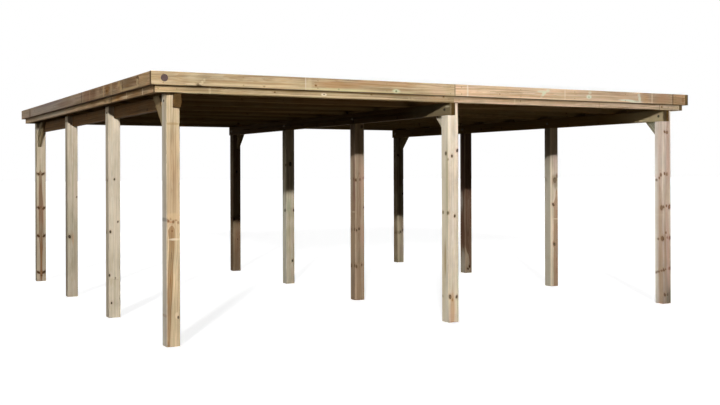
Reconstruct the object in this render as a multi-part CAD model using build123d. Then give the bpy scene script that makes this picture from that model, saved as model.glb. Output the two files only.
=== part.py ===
from build123d import *
import math
import os

# Double carport of treated pine with a flat roof, open on all four sides.
# Three rows of square posts run from the front to the back. Each post head is
# halved to seat a purlin, and knee boards stiffen the first and last post of a row.
# Rafters lie across the purlins, two stepped rings of fascia board close their ends,
# and ribbed steel sheets, hidden behind the upper ring, shed the rain.
# X runs across the front, Y from the front to the back and Z up from the ground.
# The origin is on the ground under the middle of the roof.

os.makedirs("parts", exist_ok=True)

# Posts
post_side = 120.0
post_arris = 6.0
shoulder_height = 2017.0
posts_per_row = 4
post_pitch = 1940.0
row_pitch = 2815.0

# Purlins, one along each row of posts
purlin_thick = 60.0
purlin_depth = 120.0
purlin_nose = 35.0

# Knee boards between post and purlin
brace_thick = 44.0
brace_width = 120.0
brace_drop = 200.0
brace_angle = math.radians(45.0)

# Rafters
rafter_thick = 45.0
rafter_depth = 120.0
rafter_count = 9

# Fascia boards in two stepped rings
board_thick = 44.0
upper_depth = 115.0
upper_step = 58.0
side_overhang = 113.0
end_overhang = 60.0
front_seam = 18.0
filler_length = 182.0
board_arris = 3.0

# Ribbed roof sheets
sheet_count = 6
ribs_per_sheet = 5
sheet_thick = 0.5
rib_height = 35.0
rib_top = 40.0
rib_base = 80.0
sheet_margin = 6.0
lap_gap = 0.3
lap_lip = 8.0

# Levels and outlines that follow from the sizes above
purlin_top = shoulder_height + purlin_depth
rafter_top = purlin_top + rafter_depth
row_half = (posts_per_row - 1) * post_pitch / 2
post_half = post_side / 2
ring_half_x = row_pitch + post_half + side_overhang
ring_half_y = row_half + post_half + end_overhang

# Each row has its name, its place across the front and the side its purlin lies on
rows = [("left", -row_pitch, 1), ("middle", 0.0, -1), ("right", row_pitch, -1)]


def save(solid, name):
    """Write one piece as a node of its own."""
    solid.label = name
    export_step(solid, "parts/" + name + ".step")


def purlin_centre(x, side):
    """Centre line of the purlin, flush with the post's face on its side."""
    return x + side * (post_half - purlin_thick / 2)


def bar_along_y(width, depth, length):
    """Planed timber with eased edges, centred on the origin and running along Y."""
    section = Plane.XZ * RectangleRounded(width, depth, board_arris)
    return extrude(section, amount=length / 2, both=True)


def bar_along_x(width, depth, length):
    """Planed timber with eased edges, centred on the origin and running along X."""
    section = Plane.YZ * RectangleRounded(width, depth, board_arris)
    return extrude(section, amount=length / 2, both=True)


def make_post(x, y, side):
    """Square post whose head is halved, which leaves a tongue beside the purlin."""
    shaft = extrude(RectangleRounded(post_side, post_side, post_arris), amount=purlin_top)
    rebate = Box(2 * purlin_thick, 2 * post_side, 2 * purlin_depth)
    seat = Pos(side * post_half, 0, shoulder_height + purlin_depth) * rebate
    return Pos(x, y, 0) * (shaft - seat)


def make_purlin(x, side):
    """Purlin over all posts of a row, with a short nose in front of and behind them."""
    length = 2 * (row_half + post_half + purlin_nose)
    level = shoulder_height + purlin_depth / 2
    return Pos(purlin_centre(x, side), 0, level) * bar_along_y(purlin_thick, purlin_depth, length)


def make_brace(x, side, end):
    """Knee board cut plumb against the post and level with the purlin's top."""
    heel = -brace_drop
    throat = heel + brace_width / math.cos(brace_angle)
    outer_reach = (purlin_depth - heel) / math.tan(brace_angle)
    inner_reach = (purlin_depth - throat) / math.tan(brace_angle)
    outline = Polygon((0, heel), (outer_reach, purlin_depth), (inner_reach, purlin_depth), (0, throat), align=None)
    board = extrude(Plane.YZ * outline, amount=brace_thick / 2, both=True)
    grain = Vector(0, math.cos(brace_angle), math.sin(brace_angle))
    long_edges = board.edges().filter_by(lambda edge: abs(edge.tangent_at(0).dot(grain)) > 0.999)
    board = fillet(long_edges, board_arris)
    tongue_face = x + side * (post_half - purlin_thick)
    placed = Pos(tongue_face - side * brace_thick / 2, post_half - row_half, shoulder_height) * board
    if end == "rear":
        placed = mirror(placed, Plane.XZ)
    return placed


def make_rafter(index):
    """Rafter across all three purlins, butted between the side boards."""
    spacing = 2 * row_half / (rafter_count - 1)
    length = 2 * (ring_half_x - board_thick)
    place = Pos(0, index * spacing - row_half, purlin_top + rafter_depth / 2)
    return place * bar_along_x(rafter_thick, rafter_depth, length)


def board_x(start, end, outer_y, bottom, depth):
    """Fascia board along X between two ends, its outer face at outer_y."""
    inward = -math.copysign(board_thick / 2, outer_y)
    place = Pos((start + end) / 2, outer_y + inward, bottom + depth / 2)
    return place * bar_along_x(board_thick, depth, end - start)


def board_y(start, end, outer_x, bottom, depth):
    """Fascia board along Y between two ends, its outer face at outer_x."""
    inward = -math.copysign(board_thick / 2, outer_x)
    place = Pos(outer_x + inward, (start + end) / 2, bottom + depth / 2)
    return place * bar_along_y(board_thick, depth, end - start)


def make_ring(half_x, half_y, bottom, depth, seams):
    """Four sides of boards, each lapping the next one's end like a pinwheel."""
    stops = [-half_x] + seams + [half_x - board_thick]
    front = [board_x(a, b, -half_y, bottom, depth) for a, b in zip(stops, stops[1:])]
    rear = board_x(board_thick - half_x, half_x, half_y, bottom, depth)
    left = board_y(board_thick - half_y, half_y, -half_x, bottom, depth)
    right = board_y(-half_y, half_y - board_thick, half_x, bottom, depth)
    return front, rear, left, right


def sheet_underside(width, lapped):
    """Underside of one sheet from its first rib to its last pan or lapping rib."""
    pitch = width / ribs_per_sheet
    flank = (rib_base - rib_top) / 2
    line = []
    for rib in range(ribs_per_sheet):
        left = rib * pitch
        line.append((left, 0))
        line.append((left + flank, rib_height))
        line.append((left + flank + rib_top, rib_height))
        line.append((left + rib_base, 0))
    if not lapped:
        return line + [(width, 0)]
    slope = math.atan2(rib_height, flank)
    rise = sheet_thick + lap_gap
    spread = rise / math.sin(slope)
    corner = rise * math.tan(slope / 2)
    lip = lap_lip / math.tan(slope)
    line.append((width - spread, 0))
    line.append((width + flank - corner, rib_height + rise))
    line.append((width + flank + rib_top + corner, rib_height + rise))
    line.append((width + rib_base + spread - lip, lap_lip))
    return line


def thicken(line, thickness):
    """Close a bent line into the section of a sheet of even thickness above it."""
    upper = []
    last = len(line) - 1
    for index, point in enumerate(line):
        before = Vector(*point) - Vector(*line[max(index - 1, 0)])
        after = Vector(*line[min(index + 1, last)]) - Vector(*point)
        before = before if index > 0 else after
        after = after if index < last else before
        normal_before = Vector(-before.Y, before.X).normalized()
        normal_after = Vector(-after.Y, after.X).normalized()
        mitre = (normal_before + normal_after).normalized()
        reach = thickness / mitre.dot(normal_after)
        upper.append((point[0] + mitre.X * reach, point[1] + mitre.Y * reach))
    return Polygon(*line, *reversed(upper), align=None)


def make_sheet(index):
    """Steel sheet with trapezoid ribs along Y, its last rib over the next sheet's first."""
    clear_width = 2 * (ring_half_x - sheet_margin)
    width = clear_width / sheet_count
    section = thicken(sheet_underside(width, index < sheet_count - 1), sheet_thick)
    body = extrude(Plane.XZ * section, amount=ring_half_y - sheet_margin, both=True)
    return Pos(index * width - clear_width / 2, 0, rafter_top) * body


# Posts and purlins
for row, x, side in rows:
    for index in range(posts_per_row):
        save(make_post(x, index * post_pitch - row_half, side), f"post_{row}_{index + 1}")
    save(make_purlin(x, side), f"purlin_{row}")

# Knee boards at the front and rear post of each row
for row, x, side in rows:
    for end in ("front", "rear"):
        save(make_brace(x, side, end), f"brace_{row}_{end}")

# Rafters, counted from the front
for index in range(rafter_count):
    save(make_rafter(index), f"rafter_{index + 1}")

# Lower ring of boards, level with the rafters, whose front joint is over the middle purlin
middle_seam = purlin_centre(rows[1][1], rows[1][2])
front, rear, left, right = make_ring(ring_half_x, ring_half_y, purlin_top, rafter_depth, [middle_seam])
save(front[0], "fascia_lower_front_left")
save(front[1], "fascia_lower_front_right")
save(rear, "fascia_lower_rear")
save(left, "fascia_lower_left")
save(right, "fascia_lower_right")

# Upper ring outside the lower one, whose front row has a short filler at its right end
upper_half_x = ring_half_x + board_thick
upper_half_y = ring_half_y + board_thick
first_seam = middle_seam - purlin_thick / 2 + front_seam
second_seam = upper_half_x - board_thick - filler_length
upper_bottom = purlin_top + upper_step
front, rear, left, right = make_ring(
    upper_half_x, upper_half_y, upper_bottom, upper_depth, [first_seam, second_seam]
)
save(front[0], "fascia_upper_front_left")
save(front[1], "fascia_upper_front_middle")
save(front[2], "fascia_upper_front_filler")
save(rear, "fascia_upper_rear")
save(left, "fascia_upper_left")
save(right, "fascia_upper_right")

# Roof sheets, counted from the left
for index in range(sheet_count):
    save(make_sheet(index), f"roof_sheet_{index + 1}")
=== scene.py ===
import math
import random

import bmesh
import bpy
from mathutils import Euler, Matrix, Vector


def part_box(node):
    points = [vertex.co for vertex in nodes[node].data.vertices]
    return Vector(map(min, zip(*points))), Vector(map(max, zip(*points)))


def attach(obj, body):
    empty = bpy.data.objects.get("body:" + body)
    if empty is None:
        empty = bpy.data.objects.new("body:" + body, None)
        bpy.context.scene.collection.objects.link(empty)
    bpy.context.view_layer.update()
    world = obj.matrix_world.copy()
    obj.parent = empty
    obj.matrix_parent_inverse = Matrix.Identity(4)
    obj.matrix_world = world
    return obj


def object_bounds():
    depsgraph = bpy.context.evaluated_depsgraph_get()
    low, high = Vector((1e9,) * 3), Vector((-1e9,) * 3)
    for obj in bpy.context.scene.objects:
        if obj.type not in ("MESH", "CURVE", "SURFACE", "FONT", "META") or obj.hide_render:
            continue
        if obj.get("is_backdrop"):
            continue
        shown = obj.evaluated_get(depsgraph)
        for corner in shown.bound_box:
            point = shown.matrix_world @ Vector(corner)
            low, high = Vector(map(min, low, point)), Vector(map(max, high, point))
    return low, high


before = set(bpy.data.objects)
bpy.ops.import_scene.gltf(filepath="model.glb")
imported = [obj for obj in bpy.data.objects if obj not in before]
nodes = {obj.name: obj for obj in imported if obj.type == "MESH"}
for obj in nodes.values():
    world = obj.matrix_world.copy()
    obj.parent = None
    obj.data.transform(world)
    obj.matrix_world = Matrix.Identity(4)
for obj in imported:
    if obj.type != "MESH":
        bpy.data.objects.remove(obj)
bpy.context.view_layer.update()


# Camera
# It stands at eye height in front of the left corner and looks level towards the right.
# The frame is lowered by shift, as in the photograph, so that posts stay upright in it.
eye = bpy.data.cameras.new("eye")
camera = bpy.data.objects.new("eye", eye)
bpy.context.scene.collection.objects.link(camera)
stand = Matrix.Translation((-5.4062, -11.1716, 1.4750))
turn = math.radians(28.082)
tip = math.radians(-0.170)
ahead = Vector((math.sin(turn), math.cos(turn), 0))
level = Vector((math.cos(turn), -math.sin(turn), 0))
right = level * math.cos(tip) + Vector((0, 0, math.sin(tip)))
above = Vector((0, 0, math.cos(tip))) - level * math.sin(tip)
camera.matrix_world = stand @ Matrix((right, above, -ahead)).transposed().to_4x4()
eye.sensor_width = 36
eye.lens = 50.194
eye.shift_y = -0.0434
eye.clip_end = 300
bpy.context.scene.camera = camera


# Posts
# Twelve 120 mm square posts of pressure-treated pine, sawn with the pith inside and planed
# on four sides. Each shows whorls of knots, brown heartwood where the pith runs near a face,
# pale sapwood with a green cast from the treatment, and fine drying checks.


def linear(code):
    """Turn a colour written as an sRGB hex value into the linear one that shaders use."""
    parts = [int(code[i:i + 2], 16) / 255 for i in (1, 3, 5)]
    return tuple(c / 12.92 if c <= 0.04045 else ((c + 0.055) / 1.055) ** 2.4 for c in parts) + (1.0,)


def output_of(node):
    """The first output of a node that its settings leave in use."""
    return next(socket for socket in node.outputs if socket.enabled)


def add(tree, kind, sockets=(), **settings):
    """Add a node with its settings, and link or set its sockets by number or by name."""
    node = tree.nodes.new(kind)
    for name, value in settings.items():
        setattr(node, name, value)
    for key, value in dict(sockets).items():
        if isinstance(key, int):
            socket = node.inputs[key]
        else:
            socket = next(s for s in node.inputs if s.enabled and s.name == key)
        if isinstance(value, bpy.types.Node):
            value = output_of(value)
        if isinstance(value, bpy.types.NodeSocket):
            tree.links.new(value, socket)
        else:
            socket.default_value = value
    return node


def make_group(name, kind, takes, gives):
    """Start a node group. Return it, its named inputs as sockets, and its end node."""
    tree = bpy.data.node_groups.new(name, kind)
    for label, (socket, start) in takes.items():
        made = tree.interface.new_socket(label, in_out="INPUT", socket_type="NodeSocket" + socket)
        if start is not None:
            made.default_value = start
    for label, socket in gives.items():
        tree.interface.new_socket(label, in_out="OUTPUT", socket_type="NodeSocket" + socket)
    return tree, add(tree, "NodeGroupInput").outputs, add(tree, "NodeGroupOutput")


def start_material(name):
    """Start a material without nodes, and return it with its tree."""
    material = bpy.data.materials.new(name)
    material.use_nodes = True
    material.node_tree.nodes.clear()
    return material, material.node_tree


# A branch grows from the pith outwards and gets thicker, and a knot is where a face cuts it.
# The group keeps the nearest branch: 0 on its axis and 1 on its bark.
branch, given, result = make_group(
    "branch", "ShaderNodeTree",
    {"Place": ("Vector", None), "Root": ("Vector", None), "Heading": ("Vector", None),
     "Radius": ("Float", 9.0), "Reach": ("Float", 60.0), "Nearest": ("Float", 50.0)},
    {"Nearest": "Float"})
away = add(branch, "ShaderNodeVectorMath", {0: given["Place"], 1: given["Root"]}, operation="SUBTRACT")
forward = add(branch, "ShaderNodeVectorMath", {0: away, 1: given["Heading"]}, operation="DOT_PRODUCT")
on_axis = add(branch, "ShaderNodeVectorMath", {0: away, 1: given["Heading"]}, operation="PROJECT")
beside = add(branch, "ShaderNodeVectorMath", {0: away, 1: on_axis}, operation="SUBTRACT")
oval = add(branch, "ShaderNodeVectorMath", {0: beside, 1: (1, 1, 0.6)}, operation="MULTIPLY")
gap = add(branch, "ShaderNodeVectorMath", {0: oval}, operation="LENGTH")
width = add(branch, "ShaderNodeMapRange",
            {"Value": forward, "From Min": 0.0, "From Max": given["Reach"], "To Min": 0.4,
             "To Max": given["Radius"]})
ratio = add(branch, "ShaderNodeMath", {0: gap, 1: width}, operation="DIVIDE")
nearest = add(branch, "ShaderNodeMath", {0: ratio, 1: given["Nearest"]}, operation="MINIMUM")
branch.links.new(nearest.outputs[0], result.inputs["Nearest"])


# A patch of another tone: the pale print of a stacking lath across a board, a stain, or a patch of
# painted light or shade.
patch, given, result = make_group(
    "patch", "ShaderNodeTree",
    {"Place": ("Vector", None), "Middle": ("Vector", None), "Half size": ("Vector", (10, 10, 10)),
     "Uneven": ("Float", 0.5), "Strength": ("Float", 0.5), "Soft": ("Float", 0.0),
     "Tone": ("Color", (1, 1, 1, 1)), "Colour": ("Color", (1, 1, 1, 1))},
    {"Colour": "Color"})
apart = add(patch, "ShaderNodeVectorMath", {0: given["Place"], 1: given["Middle"]}, operation="SUBTRACT")
shares = add(patch, "ShaderNodeVectorMath", {0: apart, 1: given["Half size"]}, operation="DIVIDE")
rim = add(patch, "ShaderNodeVectorMath", {0: shares}, operation="LENGTH")
rags = add(patch, "ShaderNodeMath", {0: given["Soft"], 1: 1.0, 2: 0.7}, operation="MULTIPLY_ADD")
ragged = add(patch, "ShaderNodeMath", {0: given["Uneven"], 1: rags, 2: rim}, operation="MULTIPLY_ADD")
fade = add(patch, "ShaderNodeMath", {0: given["Soft"], 1: 0.9, 2: 1.55}, operation="MULTIPLY_ADD")
cover = add(patch, "ShaderNodeMapRange",
            {"Value": ragged, "From Min": fade, "From Max": 1.05, "To Min": 0.0,
             "To Max": given["Strength"]}, interpolation_type="SMOOTHSTEP")
tinted = add(patch, "ShaderNodeMix", {"Factor": cover, "A": given["Colour"], "B": given["Tone"]},
             data_type="RGBA")
patch.links.new(output_of(tinted), result.inputs["Colour"])


# Pine as a solid: yearly rings about the pith, pushed outwards round each branch, a heart,
# fibres along the grain and slow changes of tone. Place is in millimetres from the pith,
# with Z along the grain.
wood, given, result = make_group(
    "pine wood", "ShaderNodeTree",
    {"Place": ("Vector", None), "Nearest": ("Float", 50.0), "Heart radius": ("Float", 30.0),
     "Tone": ("Float", 1.0), "End": ("Float", 0.0), "Seed": ("Vector", None),
     "Ring width": ("Float", 4.0), "Stripes": ("Float", 1.0), "Figure": ("Float", 1.4),
     "Cast": ("Float", 0.4), "Heart strength": ("Float", 0.7), "Check": ("Vector", (0, 1, 0)),
     "Sapwood": ("Color", (1, 1, 1, 1)), "Latewood": ("Color", (1, 1, 1, 1)),
     "Heartwood": ("Color", (1, 1, 1, 1)), "Knot": ("Color", (1, 1, 1, 1)),
     "Bark": ("Color", (1, 1, 1, 1))},
    {"Colour": "Color", "Roughness": "Float", "Height": "Float", "Uneven": "Float"})
# Four sizes of unevenness, each drawn out along the grain: rings out of round over a hand's
# breadth, fibres of about 1 mm, streaks of about 6 mm, and clouds as wide as a board
wander, fibre, streak, cloud = [
    add(wood, "ShaderNodeTexNoise", {
        "Vector": add(wood, "ShaderNodeVectorMath",
                      {0: given["Place"], 1: per_mm, 2: given["Seed"]}, operation="MULTIPLY_ADD"),
        "Scale": 1.0, "Detail": detail, "Roughness": rough})
    for per_mm, detail, rough in (
        ((1 / 38, 1 / 38, 1 / 420), 3.0, 0.6), ((0.8, 0.8, 1 / 60), 3.0, 0.65),
        ((1 / 9, 1 / 9, 1 / 700), 3.0, 0.6), ((1 / 110, 1 / 110, 1 / 330), 4.0, 0.55))
]
# Push of the rings round a branch
near_share = add(wood, "ShaderNodeMath", {0: given["Nearest"], 1: 2.4}, operation="DIVIDE")
near_square = add(wood, "ShaderNodeMath", {0: near_share, 1: 2.0}, operation="POWER")
near_minus = add(wood, "ShaderNodeMath", {0: near_square, 1: -1.0}, operation="MULTIPLY")
push = add(wood, "ShaderNodeMath", {0: near_minus}, operation="EXPONENT")
flat = add(wood, "ShaderNodeVectorMath", {0: given["Place"], 1: (1, 1, 0)}, operation="MULTIPLY")
radius = add(wood, "ShaderNodeVectorMath", {0: flat}, operation="LENGTH")
uneven = add(wood, "ShaderNodeMath", {0: wander, 1: 15.0, 2: radius}, operation="MULTIPLY_ADD")
pushed = add(wood, "ShaderNodeMath", {0: push, 1: -11.0, 2: uneven}, operation="MULTIPLY_ADD")
# Wide and narrow years come in runs of about 23 mm, and groups of dark and pale years, which
# show as stripes from a distance, in runs of about 9 mm
years, belt = [
    add(wood, "ShaderNodeTexNoise", {
        "W": add(wood, "ShaderNodeMath", {0: pushed, 1: 1 / run}, operation="MULTIPLY"),
        "Scale": 1.0, "Detail": 2.0}, noise_dimensions="1D")
    for run in (23, 9)
]
# Each year ends in a darker line of latewood
count = add(wood, "ShaderNodeMath", {0: pushed, 1: given["Ring width"]}, operation="DIVIDE")
counted = add(wood, "ShaderNodeMath", {0: years, 1: 3.0, 2: count}, operation="MULTIPLY_ADD")
year = add(wood, "ShaderNodeMath", {0: counted}, operation="FRACT")
rise = add(wood, "ShaderNodeMapRange", {"Value": year, "From Min": 0.45, "From Max": 0.9},
           interpolation_type="SMOOTHSTEP")
fall = add(wood, "ShaderNodeMapRange", {"Value": year, "From Min": 1.0, "From Max": 0.94},
           interpolation_type="SMOOTHSTEP")
late = add(wood, "ShaderNodeMath", {0: rise, 1: fall}, operation="MULTIPLY")
late_share = add(wood, "ShaderNodeMath", {0: late, 1: 0.55}, operation="MULTIPLY")
belt_share = add(wood, "ShaderNodeMapRange", {"Value": belt, "From Min": 0.35, "From Max": 0.75,
                                              "To Min": 0.0, "To Max": 0.55})
belt_part = add(wood, "ShaderNodeMath", {0: belt_share, 1: given["Stripes"]}, operation="MULTIPLY")
# Brown streaks that run with the grain, stronger in figured boards
dark_streak = add(wood, "ShaderNodeMapRange",
                  {"Value": streak, "From Min": 0.5, "From Max": 0.3, "To Max": 0.3},
                  interpolation_type="SMOOTHSTEP")
dark_part = add(wood, "ShaderNodeMath", {0: dark_streak, 1: given["Figure"]}, operation="MULTIPLY")
# Heart with an uneven edge that runs up and down between the years
edge = add(wood, "ShaderNodeMath", {0: given["Heart radius"], 1: pushed}, operation="SUBTRACT")
edge_ragged = add(wood, "ShaderNodeMath", {0: streak, 1: 9.0, 2: edge}, operation="MULTIPLY_ADD")
heart = add(wood, "ShaderNodeMapRange", {"Value": edge_ragged, "From Min": -5.5, "From Max": -1.5},
            interpolation_type="SMOOTHSTEP")
heart_late = add(wood, "ShaderNodeMath", {0: late, 1: 0.25, 2: 0.75}, operation="MULTIPLY_ADD")
heart_share = add(wood, "ShaderNodeMath", {0: heart, 1: heart_late}, operation="MULTIPLY")
heart_part = add(wood, "ShaderNodeMath", {0: heart_share, 1: given["Heart strength"]},
                 operation="MULTIPLY")
# The green cast of the copper treatment and the grey of the weather come in clouds
cast_share = add(wood, "ShaderNodeMapRange",
                 {"Value": cloud, "From Min": 0.4, "From Max": 0.7, "To Max": given["Cast"]},
                 interpolation_type="SMOOTHSTEP")
# Knots: brown round the branch, reddish in it, nearly black at its bark
halo = add(wood, "ShaderNodeMapRange",
           {"Value": given["Nearest"], "From Min": 2.6, "From Max": 1.0, "To Max": 0.45},
           interpolation_type="SMOOTHSTEP")
inside = add(wood, "ShaderNodeMapRange",
             {"Value": given["Nearest"], "From Min": 1.12, "From Max": 0.9},
             interpolation_type="SMOOTHSTEP")
off_bark = add(wood, "ShaderNodeMath", {0: given["Nearest"], 1: 0.95}, operation="SUBTRACT")
bark_gap = add(wood, "ShaderNodeMath", {0: off_bark}, operation="ABSOLUTE")
bark = add(wood, "ShaderNodeMapRange",
           {"Value": bark_gap, "From Min": 0.3, "From Max": 0.08, "To Max": 0.8},
           interpolation_type="SMOOTHSTEP")
# A drying check opens from the pith towards one side, in lengths of a hand or two
check_side = add(wood, "ShaderNodeVectorMath", {0: given["Place"], 1: given["Check"]},
                 operation="DOT_PRODUCT")
check_turned = add(wood, "ShaderNodeVectorMath", {0: given["Check"], 1: (0, 0, 1)},
                   operation="CROSS_PRODUCT")
check_off = add(wood, "ShaderNodeVectorMath", {0: given["Place"], 1: check_turned},
                operation="DOT_PRODUCT")
check_bend = add(wood, "ShaderNodeMath", {0: wander, 1: 12.0, 2: check_off}, operation="MULTIPLY_ADD")
check_line = add(wood, "ShaderNodeMath", {0: check_bend, 1: -6.0}, operation="ADD")
check_gap = add(wood, "ShaderNodeMath", {0: check_line}, operation="ABSOLUTE")
check_width = add(wood, "ShaderNodeMapRange", {"Value": cloud, "From Min": 0.5, "From Max": 0.66,
                                               "To Min": -0.3, "To Max": 1.1})
check_depth = add(wood, "ShaderNodeMath", {0: check_width, 1: check_gap}, operation="SUBTRACT")
check_open = add(wood, "ShaderNodeMapRange",
                 {"Value": check_depth, "From Min": -0.3, "From Max": 0.5},
                 interpolation_type="SMOOTHSTEP")
check_there = add(wood, "ShaderNodeMath", {0: check_side, 1: 6.0}, operation="GREATER_THAN")
check = add(wood, "ShaderNodeMath", {0: check_open, 1: check_there}, operation="MULTIPLY")
# Ends soak up the treatment and are darker
end_share = add(wood, "ShaderNodeMath", {0: given["End"], 1: 0.8}, operation="MULTIPLY")
# All these tones lie over the sapwood, in this order
tinted = given["Sapwood"]
for share, tone in (
        (late_share, given["Latewood"]), (belt_part, given["Latewood"]),
        (dark_part, given["Latewood"]), (heart_part, given["Heartwood"]),
        (cast_share, linear("#a9a184")), (halo, given["Heartwood"]), (inside, given["Knot"]),
        (bark, given["Bark"]), (check, linear("#4a3826")), (end_share, linear("#5f4726"))):
    tinted = add(wood, "ShaderNodeMix", {"Factor": share, "A": tinted, "B": tone}, data_type="RGBA")
# Brightness: streaks, fibres, clouds and the shade given for this height
streak_off = add(wood, "ShaderNodeMapRange", {"Value": streak, "From Min": 0.3, "From Max": 0.7,
                                              "To Min": -0.12, "To Max": 0.11})
fibre_light = add(wood, "ShaderNodeMapRange", {"Value": fibre, "From Min": 0.3, "From Max": 0.7,
                                               "To Min": 0.93, "To Max": 1.06})
cloud_off = add(wood, "ShaderNodeMapRange", {"Value": cloud, "From Min": 0.3, "From Max": 0.7,
                                             "To Min": 0.05, "To Max": -0.06})
streak_light, cloud_light = [
    add(wood, "ShaderNodeMath", {0: off, 1: given["Figure"], 2: 1.0}, operation="MULTIPLY_ADD")
    for off in (streak_off, cloud_off)
]
light = streak_light
for part in (fibre_light, cloud_light, given["Tone"]):
    light = add(wood, "ShaderNodeMath", {0: light, 1: part}, operation="MULTIPLY")
toned = add(wood, "ShaderNodeVectorMath", {0: tinted, "Scale": light}, operation="SCALE")
# Fibres scatter, while resin in knots gives a slight shine
rough = add(wood, "ShaderNodeMath", {0: fibre, 1: 0.22, 2: 0.56}, operation="MULTIPLY_ADD")
rough = add(wood, "ShaderNodeMath", {0: inside, 1: -0.14, 2: rough}, operation="MULTIPLY_ADD")
# Relief: latewood stands up, bark sinks, and checks are deep
high = fibre
for part, rise_by in ((late, 0.35), (bark, -0.6), (check, -3.0)):
    high = add(wood, "ShaderNodeMath", {0: part, 1: rise_by, 2: high}, operation="MULTIPLY_ADD")
for label, node in (("Colour", toned), ("Roughness", rough), ("Height", high), ("Uneven", cloud)):
    wood.links.new(output_of(node), result.inputs[label])

# The grain runs along one of these: turning by these angles brings it to Z
TURNS = {
    "up": (0, 0, 0),
    "across": (0, math.radians(-90), 0),
    "back": (math.radians(90), 0, 0),
    "front knee": (math.radians(45), 0, 0),
    "rear knee": (math.radians(-45), 0, 0),
}
# A ramp holds no colour below 0, so the pith's offsets pass through it raised by this much
RAMP_LIFT = 500
# A patch about this wide or wider fades out softly, in millimetres
SOFT_WIDTH = 60


def pine(name, grain, middle, pith, knots=(), prints=(), sap="#d9c39c", late="#c09a68",
         heart="#a2774a", knot="#6a4c33", bark="#33261a", rings=4.0, stripes=1.0, figure=1.4,
         cast=0.35, strength=0.7, check=(0, -1), gloss=0.012):
    """Planed pressure-treated pine for one timber, with its own pith, knots and tones.

    pith lists (place along the timber, heart radius, two offsets of the pith, tone).
    knots lists (two offsets and place along of the point where the branch comes out, radius).
    prints lists (middle, half size, colour, strength). All are millimetres from the middle.
    rings is a year's mean width. stripes, figure, cast and strength say how much the dark
    years, the streaks, the green cast and the heart show. Drying checks open towards check.
    """
    planed, tree = start_material(name)
    turned = Euler(TURNS[grain]).to_matrix()
    shift = turned @ Vector(middle) * -1000
    coords = add(tree, "ShaderNodeTexCoord")
    place = add(tree, "ShaderNodeMapping", {"Vector": coords.outputs["Object"], "Location": shift,
                                            "Rotation": TURNS[grain], "Scale": (1000, 1000, 1000)})
    parts = add(tree, "ShaderNodeSeparateXYZ", {0: place})
    low, high = pith[0][0], pith[-1][0]
    along = add(tree, "ShaderNodeMapRange",
                {"Value": parts.outputs["Z"], "From Min": low, "From Max": high})
    lie = add(tree, "ShaderNodeValToRGB", {"Fac": along})
    lie.color_ramp.interpolation = "EASE"
    stops = lie.color_ramp.elements
    while len(stops) < len(pith):
        stops.new(0.5)
    for stop, (height, *_) in zip(stops, pith):
        stop.position = (height - low) / (high - low)
    for stop, (_, radius, x, y, tone) in zip(stops, pith):
        stop.color = (x + RAMP_LIFT, y + RAMP_LIFT, radius, tone)
    offset = add(tree, "ShaderNodeVectorMath",
                 {0: lie.outputs["Color"], 1: (1, 1, 0), 2: (-RAMP_LIFT, -RAMP_LIFT, 0)},
                 operation="MULTIPLY_ADD")
    from_pith = add(tree, "ShaderNodeVectorMath", {0: place, 1: offset}, operation="SUBTRACT")
    heart_radius = add(tree, "ShaderNodeSeparateXYZ", {0: lie.outputs["Color"]})
    nearest = 50.0
    for x, y, height, size in knots:
        spot = min(pith, key=lambda p: abs(p[0] - height))
        reach = Vector((x - spot[2], y - spot[3], 0))
        climb = reach.length * 0.6
        heading = (reach + Vector((0, 0, climb))).normalized()
        nearest = add(tree, "ShaderNodeGroup", {
            "Place": from_pith, "Root": (0, 0, height - climb), "Heading": heading, "Radius": size,
            "Reach": math.hypot(reach.length, climb), "Nearest": nearest}, node_tree=branch)
    grain_line = turned.inverted() @ Vector((0, 0, 1))
    facing = add(tree, "ShaderNodeVectorMath", {0: coords.outputs["Normal"], 1: grain_line},
                 operation="DOT_PRODUCT")
    facing_size = add(tree, "ShaderNodeMath", {0: facing}, operation="ABSOLUTE")
    end = add(tree, "ShaderNodeMapRange", {"Value": facing_size, "From Min": 0.75, "From Max": 0.9})
    chance = random.Random(name)
    body = add(tree, "ShaderNodeGroup", {
        "Place": from_pith, "Nearest": nearest, "Heart radius": heart_radius.outputs["Z"],
        "Tone": lie.outputs["Alpha"], "End": end, "Seed": [chance.uniform(0, 90) for _ in range(3)],
        "Ring width": rings, "Stripes": stripes, "Figure": figure, "Cast": cast,
        "Heart strength": strength, "Check": (*check, 0), "Sapwood": linear(sap),
        "Latewood": linear(late), "Heartwood": linear(heart), "Knot": linear(knot),
        "Bark": linear(bark)}, node_tree=wood)
    colour = body.outputs["Colour"]
    for centre, half, tone, amount in prints:
        spot = add(tree, "ShaderNodeGroup", {
            "Place": place, "Middle": centre, "Half size": half, "Uneven": body.outputs["Uneven"],
            "Strength": amount, "Soft": min(sorted(half)[1] / SOFT_WIDTH, 1.0),
            "Tone": linear(tone), "Colour": colour}, node_tree=patch)
        colour = spot.outputs["Colour"]
    relief = add(tree, "ShaderNodeBump",
                 {"Height": body.outputs["Height"], "Strength": 0.5, "Distance": 0.0005})
    surface = add(tree, "ShaderNodeBsdfPrincipled", {
        "Base Color": colour, "Roughness": body.outputs["Roughness"], "Normal": relief,
        "IOR": 1.5, "Specular IOR Level": gloss})
    add(tree, "ShaderNodeOutputMaterial", {"Surface": surface})
    return planed


def middle_of(name):
    """The middle of a CAD node's box."""
    low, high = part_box(name)
    return (low + high) / 2


post_low, post_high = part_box("post_left_1")
post_half = (post_high.x - post_low.x) * 500
first_row = middle_of("post_left_1").y
between = middle_of("post_left_2").y - first_row
row_place = {row: middle_of(f"post_{row}_1").x for row in ("left", "middle", "right")}


def on_front(*marks):
    """Prints on a post's front, each (across, height, half width, half height, colour,
    strength), with a depth behind that where the print also reaches round the corner."""
    return [((across, -post_half, height), (wide, *(depth or (10,)), tall), tone, amount)
            for across, height, wide, tall, tone, amount, *depth in marks]


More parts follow.
